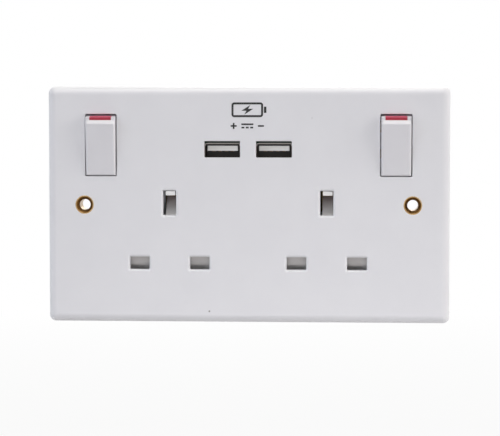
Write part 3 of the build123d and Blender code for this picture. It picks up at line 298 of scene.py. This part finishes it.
def add_specks(finish):
    """Darken small round spots of a finish, at the places in SPECKS."""
    tree = finish.node_tree
    socket = tree.nodes["Principled BSDF"].inputs["Base Color"]
    place = add_node(tree, "ShaderNodeTexCoord")
    for x, z, radius, strength in SPECKS:
        clean = socket.links[0].from_socket
        away = add_node(tree, "ShaderNodeVectorMath", operation="DISTANCE")
        away.inputs[1].default_value = (x * MM, FACE_Y, z * MM)
        link(tree, place.outputs["Object"], away.inputs[0])
        edge = (SPECK_CORE * radius * MM, radius * MM)
        spot = map_range(tree, away.outputs["Value"], edge, (strength, 0.0))
        link(tree, mixed(tree, spot, clean, SPECK_COLOUR), socket)


def tint(finish, axis, stops):
    """Multiply a finish by colours along an axis, given as (place in millimetres, colour)."""
    tree = finish.node_tree
    socket = tree.nodes["Principled BSDF"].inputs["Base Color"]
    clean = socket.links[0].from_socket
    first, last = stops[0][0], stops[-1][0]
    place = add_node(tree, "ShaderNodeTexCoord")
    axes = add_node(tree, "ShaderNodeSeparateXYZ")
    link(tree, place.outputs["Object"], axes.inputs["Vector"])
    along = map_range(tree, axes.outputs[axis], (first * MM, last * MM), (0.0, 1.0))
    ramp = add_node(tree, "ShaderNodeValToRGB")
    marks = ramp.color_ramp.elements
    while len(marks) < len(stops):
        marks.new(1.0)
    for mark, (where, colour) in zip(marks, stops):
        mark.position = (where - first) / (last - first)
        mark.color = (*colour, 1.0)
    mix = add_node(tree, "ShaderNodeMix", data_type="RGBA", blend_type="MULTIPLY")
    mix.inputs["Factor"].default_value = 1.0
    link(tree, along, ramp.inputs["Fac"])
    link(tree, clean, mix.inputs["A"])
    link(tree, ramp.outputs["Color"], mix.inputs["B"])
    link(tree, mix.outputs["Result"], socket)


def add_painted_shading(finishes):
    """The painted light and shade, placed from the nodes on the left, which the right side
    mirrors.
    """
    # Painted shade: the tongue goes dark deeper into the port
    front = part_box("left_usb_insulator")[0].y / MM
    stops = [(front + TONGUE_SHADE[0], WHITE), (front + TONGUE_SHADE[1], SHADE_BROWN)]
    tint(finishes["tongue_white"], "Y", stops)
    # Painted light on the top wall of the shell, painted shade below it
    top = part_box("left_usb_shell")[1].z / MM
    stops = [(top - SHELL_PAINTED_LIGHT[0], PORT_PAINTED_SHADE), (top - SHELL_PAINTED_LIGHT[1], WHITE)]
    tint(finishes["port_steel"], "Z", stops)
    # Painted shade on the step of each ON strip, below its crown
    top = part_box("left_on_strip")[1].z / MM
    stops = [(top - STRIP_CROWN[0], STEP_SHADE_RED), (top - STRIP_CROWN[1], WHITE)]
    tint(finishes["on_red"], "Z", stops)
    # Painted shade at the top of the doors and at the top of the ramps
    low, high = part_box("left_shutter")
    bottom, top = low.z / MM, high.z / MM
    stops = [
        (bottom + DOOR_BAND[0], WHITE),
        (bottom + DOOR_BAND[1], DOOR_PAINTED_SHADE),
        (bottom + DOOR_BAND[2], WHITE),
        (top - RAMP_BAND, WHITE),
        (top, RAMP_PAINTED_SHADE),
    ]
    tint(finishes["shutter_white"], "Z", stops)


def dress_nodes(finishes):
    """Give every CAD node the finish of its material slot, and a few a finish of their own."""
    own = {"front_plate": "plate_white"}
    for side in ("left_", "right_"):
        for part, finish in OWN_FINISH.items():
            own[side + part] = finish
    for part in frame["record"]["subparts"]:
        mesh = nodes[part["node"]].data
        mesh.materials.clear()
        mesh.materials.append(finishes[own.get(part["node"], part["material_slot"])])


def new_piece(name, mesh, finish, body):
    """Add a mesh to the scene as a piece that rides on a body."""
    made = bpy.data.objects.new(name, mesh)
    mesh.materials.append(finish)
    bpy.context.scene.collection.objects.link(made)
    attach(made, body)
    return made


def closed_mesh(name, mesh):
    """Turn a finished bmesh into mesh data, with its faces outwards."""
    bmesh.ops.recalc_face_normals(mesh, faces=mesh.faces[:])
    data = bpy.data.meshes.new(name)
    mesh.to_mesh(data)
    mesh.free()
    return data


def rectangle(x, z, width, height):
    """Corners of an upright rectangle about its middle, in millimetres."""
    left, right = x - width / 2, x + width / 2
    low, high = z - height / 2, z + height / 2
    return [(left, low), (right, low), (right, high), (left, high)]


def rounded_rectangle(x, z, width, height, radius, steps=6):
    """Points around a rectangle with rounded corners."""
    points = []
    corners = [(1, -1, -90), (1, 1, 0), (-1, 1, 90), (-1, -1, 180)]
    for side_x, side_z, start in corners:
        middle_x = x + side_x * (width / 2 - radius)
        middle_z = z + side_z * (height / 2 - radius)
        for step in range(steps + 1):
            angle = math.radians(start + 90 * step / steps)
            corner = (middle_x + radius * math.cos(angle), middle_z + radius * math.sin(angle))
            points.append(corner)
    return points


def on_face(mesh, points):
    """Vertices of a printed outline, a hair in front of the plate's face."""
    return [mesh.verts.new((x * MM, FACE_Y - INK_T * MM, z * MM)) for x, z in points]


def mark_shapes():
    """Outlines of the printed marks, apart from the battery's rim."""
    knob_x = MARK_X + BATTERY_SIZE[0] / 2 + KNOB_OUT
    shapes = [rectangle(knob_x, BATTERY_Z, *KNOB_SIZE)]
    shapes.append([(MARK_X + x, BATTERY_Z + z) for x, z in BOLT])
    for x in (-SIGN_OUT, SIGN_OUT):
        shapes.append(rectangle(MARK_X + x, SIGN_Z, SIGN_W, SIGN_LINE))
    for z in (-PLUS_ARM_OUT, PLUS_ARM_OUT):
        shapes.append(rectangle(MARK_X - SIGN_OUT, SIGN_Z + z, SIGN_LINE, PLUS_ARM_H))
    shapes.append(rectangle(MARK_X, SIGN_Z + CURRENT_OUT, CURRENT_W, SIGN_LINE))
    for x in (-DASH_PITCH, 0.0, DASH_PITCH):
        shapes.append(rectangle(MARK_X + x, SIGN_Z - CURRENT_OUT, DASH_W, SIGN_LINE))
    return shapes


def make_print(finish):
    """The printed marks as a thin layer of ink."""
    mesh = bmesh.new()
    width, height = BATTERY_SIZE
    rim = rounded_rectangle(MARK_X, BATTERY_Z, width, height, BATTERY_CORNER)
    inside = rounded_rectangle(
        MARK_X,
        BATTERY_Z,
        width - 2 * BATTERY_LINE,
        height - 2 * BATTERY_LINE,
        BATTERY_CORNER - BATTERY_LINE,
    )
    outer, inner = on_face(mesh, rim), on_face(mesh, inside)
    for i in range(len(outer)):
        j = (i + 1) % len(outer)
        mesh.faces.new((outer[i], outer[j], inner[j], inner[i]))
    for points in mark_shapes():
        mesh.faces.new(on_face(mesh, points))
    raised = bmesh.ops.extrude_face_region(mesh, geom=mesh.faces[:])
    for item in raised["geom"]:
        if isinstance(item, bmesh.types.BMVert):
            item.co.y = FACE_Y + INK_T * MM
    data = closed_mesh("printed_marks", mesh)
    new_piece("printed_marks", data, finish, "fixed_body")


def add_thread(mesh, x, y, z, turns):
    """A ridge that winds along +Y round the shank of a screw."""
    last = None
    for step in range(int(turns * THREAD_STEPS) + 1):
        angle = 2 * math.pi * step / THREAD_STEPS
        profile = []
        for out, along in THREAD_PROFILE:
            radius = (THREAD_R + out) * MM
            rise = THREAD_PITCH * MM * (step / THREAD_STEPS + along)
            point = (x + radius * math.cos(angle), y + rise, z + radius * math.sin(angle))
            profile.append(mesh.verts.new(point))
        if last:
            for i in range(len(profile)):
                j = (i + 1) % len(profile)
                mesh.faces.new((last[i], last[j], profile[j], profile[i]))
        else:
            mesh.faces.new(profile)
        last = profile
    mesh.faces.new(last)


def make_threads(finish):
    """Thread ridges on the shanks of the three terminal screws."""
    low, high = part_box("terminal_screws")
    head_r = (high.z - low.z) / 2
    z = (low.z + high.z) / 2
    turns = (high.y - SCREW_HEAD_H * MM - low.y) / (THREAD_PITCH * MM) - 1
    mesh = bmesh.new()
    for x in (low.x + head_r, (low.x + high.x) / 2, high.x - head_r):
        add_thread(mesh, x, low.y, z, turns)
    data = closed_mesh("terminal_threads", mesh)
    new_piece("terminal_threads", data, finish, "fixed_body")


def make_springs(finish):
    """Copies of the springs, riding on the parent body of their joint, in place of the CAD's own
    ones.
    """
    for joint in frame["record"]["behaviour"]["joints"]:
        for spring in joint.get("deforming_nodes", []):
            name, along = spring["node"], spring["mode"][-1]
            low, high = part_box(name)
            length = getattr(high, along) - getattr(low, along)
            anchor = (low + high) / 2
            setattr(anchor, along, spring["fixed_end_" + along + "_m"])
            mesh = nodes[name].data.copy()
            mesh.materials.clear()
            coil = new_piece(name + "_coil", mesh, finish, joint["parent"])
            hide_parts(name)
            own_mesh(coil)


def add_lamp(name, place, size, power, colour, mirrored):
    """A soft box that faces the middle of the plate."""
    lamp = bpy.data.lights.new(name, "AREA")
    lamp.shape = "RECTANGLE"
    lamp.size, lamp.size_y = size
    lamp.energy = power
    lamp.color = colour
    made = bpy.data.objects.new(name, lamp)
    made.location = place
    made.rotation_euler = (CAMERA_TARGET - Vector(place)).to_track_quat("-Z", "Y").to_euler()
    made.visible_glossy = mirrored
    bpy.context.scene.collection.objects.link(made)


def seen_directly(tree):
    """1 for rays from the camera, mirrors and glass, and 0 for the rays that carry light about."""
    path = add_node(tree, "ShaderNodeLightPath")
    total = path.outputs["Is Camera Ray"]
    for name in ("Is Glossy Ray", "Is Transmission Ray"):
        either = add_node(tree, "ShaderNodeMath", operation="MAXIMUM")
        link(tree, total, either.inputs[0])
        link(tree, path.outputs[name], either.inputs[1])
        total = either.outputs[0]
    return total


def make_world():
    """White behind the socket, and a dimmer even light on it."""
    world = bpy.data.worlds.new("studio")
    world.use_nodes = True
    bpy.context.scene.world = world
    tree = world.node_tree
    background = tree.nodes["Background"]
    background.inputs["Color"].default_value = PURE_WHITE
    level = map_range(tree, seen_directly(tree), (0.0, 1.0), (AMBIENT, 1.0))
    link(tree, level, background.inputs["Strength"])


def make_floor():
    """A pale floor that looks nearly white and still takes the socket's shadow."""
    made = bpy.data.materials.new("floor")
    made.use_nodes = True
    tree = made.node_tree
    tree.nodes.remove(tree.nodes["Principled BSDF"])
    paper = add_node(tree, "ShaderNodeBsdfDiffuse", {"Color": FLOOR_PAPER})
    white = add_node(tree, "ShaderNodeEmission", {"Color": PURE_WHITE, "Strength": 1.0})
    place = add_node(tree, "ShaderNodeTexCoord")
    reach = add_node(tree, "ShaderNodeVectorMath", operation="LENGTH")
    link(tree, place.outputs["Object"], reach.inputs[0])
    fade = map_range(tree, reach.outputs["Value"], FLOOR_FADE, FLOOR_SHADE)
    share = add_node(tree, "ShaderNodeMath", operation="MULTIPLY")
    mix = add_node(tree, "ShaderNodeMixShader")
    link(tree, seen_directly(tree), share.inputs[0])
    link(tree, fade, share.inputs[1])
    link(tree, share.outputs[0], mix.inputs["Fac"])
    link(tree, paper.outputs["BSDF"], mix.inputs[1])
    link(tree, white.outputs["Emission"], mix.inputs[2])
    link(tree, mix.outputs["Shader"], tree.nodes["Material Output"].inputs["Surface"])
    bpy.ops.mesh.primitive_plane_add(size=FLOOR_SIZE, location=(0, 0, cad_low.z - FLOOR_DROP))
    floor = bpy.context.object
    floor.name = "floor"
    floor.data.materials.append(made)


def make_camera():
    """The camera at the photograph's viewing angle."""
    lens = bpy.data.cameras.new("camera")
    lens.sensor_width = SENSOR_W
    lens.lens = FOCAL_PIXELS / IMAGE_W * SENSOR_W
    lens.clip_start = CLIP_START
    camera = bpy.data.objects.new("camera", lens)
    back = Vector(
        (
            math.sin(CAMERA_AZIMUTH) * math.cos(CAMERA_ELEVATION),
            -math.cos(CAMERA_AZIMUTH) * math.cos(CAMERA_ELEVATION),
            math.sin(CAMERA_ELEVATION),
        )
    )
    camera.location = CAMERA_TARGET + back * CAMERA_DISTANCE
    camera.rotation_euler = (-back).to_track_quat("-Z", "Y").to_euler()
    bpy.context.scene.collection.objects.link(camera)
    bpy.context.scene.camera = camera


finishes = make_finishes()
add_specks(finishes["plate_white"])
add_painted_shading(finishes)
dress_nodes(finishes)
make_print(finishes["ink"])
make_threads(finishes["steel"])
make_springs(finishes["steel"])

make_world()
make_floor()
for lamp_row in LAMPS:
    add_lamp(*lamp_row)
make_camera()
bpy.context.scene.view_settings.view_transform = "Standard"
